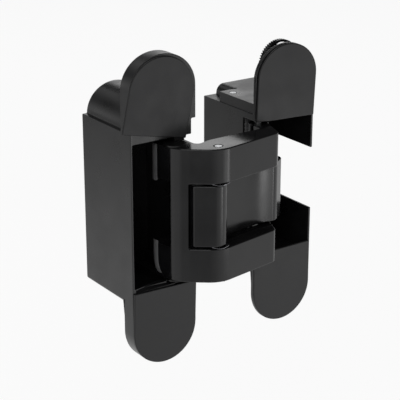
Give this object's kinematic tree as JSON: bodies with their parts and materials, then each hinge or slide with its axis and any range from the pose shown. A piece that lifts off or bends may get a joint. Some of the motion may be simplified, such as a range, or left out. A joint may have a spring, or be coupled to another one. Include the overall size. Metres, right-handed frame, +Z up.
{
  "type": "concealed invisible door hinge",
  "caption": "Black concealed door hinge opened flat, two mortised housings joined by crossed arms, with round-ended screw caps.",
  "frame": {"origin": "midway between the frame housing's two fixing screws, on its front face", "axes": "+Z up along the housings, +X from the frame housing to the door housing, +Y into the jamb, so both front faces look to -Y at rest"},
  "size_m": [0.0932, 0.0537, 0.1288],
  "materials": {
    "housing_black": "satin black coating",
    "arm_black": "satin black coating",
    "cap_black": "satin black",
    "pin_steel": "bright turned ends",
    "guide_plastic": "matt black"
  },
  "bodies": {
    "frame": {"frame_housing": "housing_black", "frame_cap_upper": "cap_black", "frame_cap_lower": "cap_black", "frame_guide_upper": "guide_plastic", "frame_guide_lower": "guide_plastic"},
    "slider": {"slide_pin_upper": "pin_steel", "slide_pin_lower": "pin_steel", "slide_block_upper": "guide_plastic", "slide_block_lower": "guide_plastic"},
    "outer": {"outer_arm": "arm_black", "centre_pin": "pin_steel", "centre_washer_upper": "pin_steel", "centre_washer_lower": "pin_steel", "glide_disc_upper": "guide_plastic", "glide_disc_lower": "guide_plastic", "finger_pin_upper": "pin_steel", "finger_pin_lower": "pin_steel"},
    "middle": {"middle_arm": "arm_black"},
    "door": {"door_housing": "housing_black", "door_cap_upper": "cap_black", "door_cap_lower": "cap_black", "door_guide_upper": "guide_plastic", "door_guide_lower": "guide_plastic", "door_pin": "pin_steel"}
  },
  "joints": [
    {"name": "leg_turn", "type": "hinge", "parent": "slider", "child": "outer", "pos_m": [0.0075, 0.0025, 0], "axis": [0, 0, -1], "range_deg": [0, 90]},
    {"name": "block_slide", "type": "slide", "parent": "frame", "child": "slider", "axis": [0, 1, 0], "range_m": [0, 0.023]},
    {"name": "centre_turn", "type": "hinge", "parent": "outer", "child": "middle", "pos_m": [0.0167, -0.0129, 0], "axis": [0, 0, -1], "range_deg": [0, 23.4]},
    {"name": "door_turn", "type": "hinge", "parent": "middle", "child": "door", "pos_m": [0.0481, 0.021, 0], "axis": [0, 0, -1], "range_deg": [0, 66.8]}
  ],
  "couplings": [
    {"joint": "block_slide", "follows": "leg_turn", "m_per_rad": 0.01461},
    {"joint": "centre_turn", "follows": "leg_turn", "ratio": 0.25889},
    {"joint": "door_turn", "follows": "leg_turn", "ratio": 0.74111}
  ]
}
